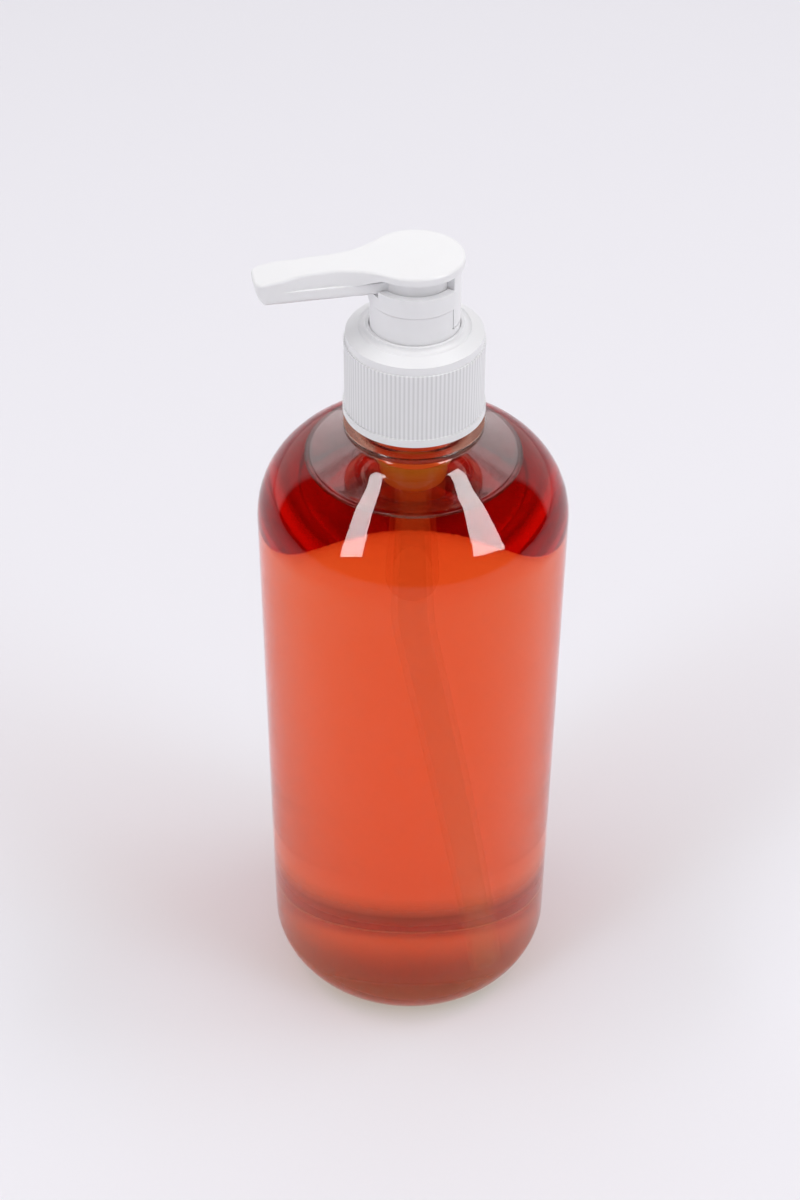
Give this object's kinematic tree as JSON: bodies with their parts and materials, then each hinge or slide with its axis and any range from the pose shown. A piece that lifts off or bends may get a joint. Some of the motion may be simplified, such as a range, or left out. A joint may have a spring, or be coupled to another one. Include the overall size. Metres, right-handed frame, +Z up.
{
  "type": "lotion pump bottle",
  "caption": "Clear blown bottle of orange-red oil with a white ribbed screw closure and a paddle-head hand pump pushed down into its collar.",
  "frame": {"origin": "centre of the bottle's base, on the surface it stands on", "axes": "+Z up along the bottle's axis; the nozzle points along -X"},
  "size_m": [0.071, 0.071, 0.2073],
  "materials": {
    "clear_pet": "polished",
    "fish_oil": "polished",
    "white_pp": "satin",
    "natural_pp": "satin",
    "clear_tube": "satin",
    "foam": "matte",
    "spring_steel": "satin",
    "ball_glass": "polished"
  },
  "bodies": {
    "bottle_body": {"bottle": "clear_pet", "oil": "fish_oil"},
    "pump_body": {"gasket": "foam", "housing": "natural_pp", "collar": "white_pp", "inlet_ball": "ball_glass", "dip_tube": "clear_tube", "spring": "spring_steel"},
    "closure_body": {"closure": "white_pp"},
    "head_body": {"head": "white_pp", "stem": "white_pp", "valve_plug": "white_pp"},
    "piston_body": {"piston": "natural_pp"}
  },
  "joints": [
    {"name": "pump_lift", "type": "slide", "parent": "bottle_body", "child": "pump_body", "axis": [0, 0, 1], "range_m": [0, 0.2], "deforming": ["oil", "dip_tube"]},
    {"name": "closure_turn", "type": "hinge", "parent": "pump_body", "child": "closure_body", "pos_m": [0, 0, 0.18], "axis": [0, 0, 1], "continuous": true},
    {"name": "head_stroke", "type": "slide", "parent": "pump_body", "child": "head_body", "axis": [0, 0, 1], "range_m": [0, 0.012], "deforming": ["spring"]},
    {"name": "piston_slip", "type": "slide", "parent": "head_body", "child": "piston_body", "axis": [0, 0, 1], "range_m": [-0.0012, 0]}
  ]
}
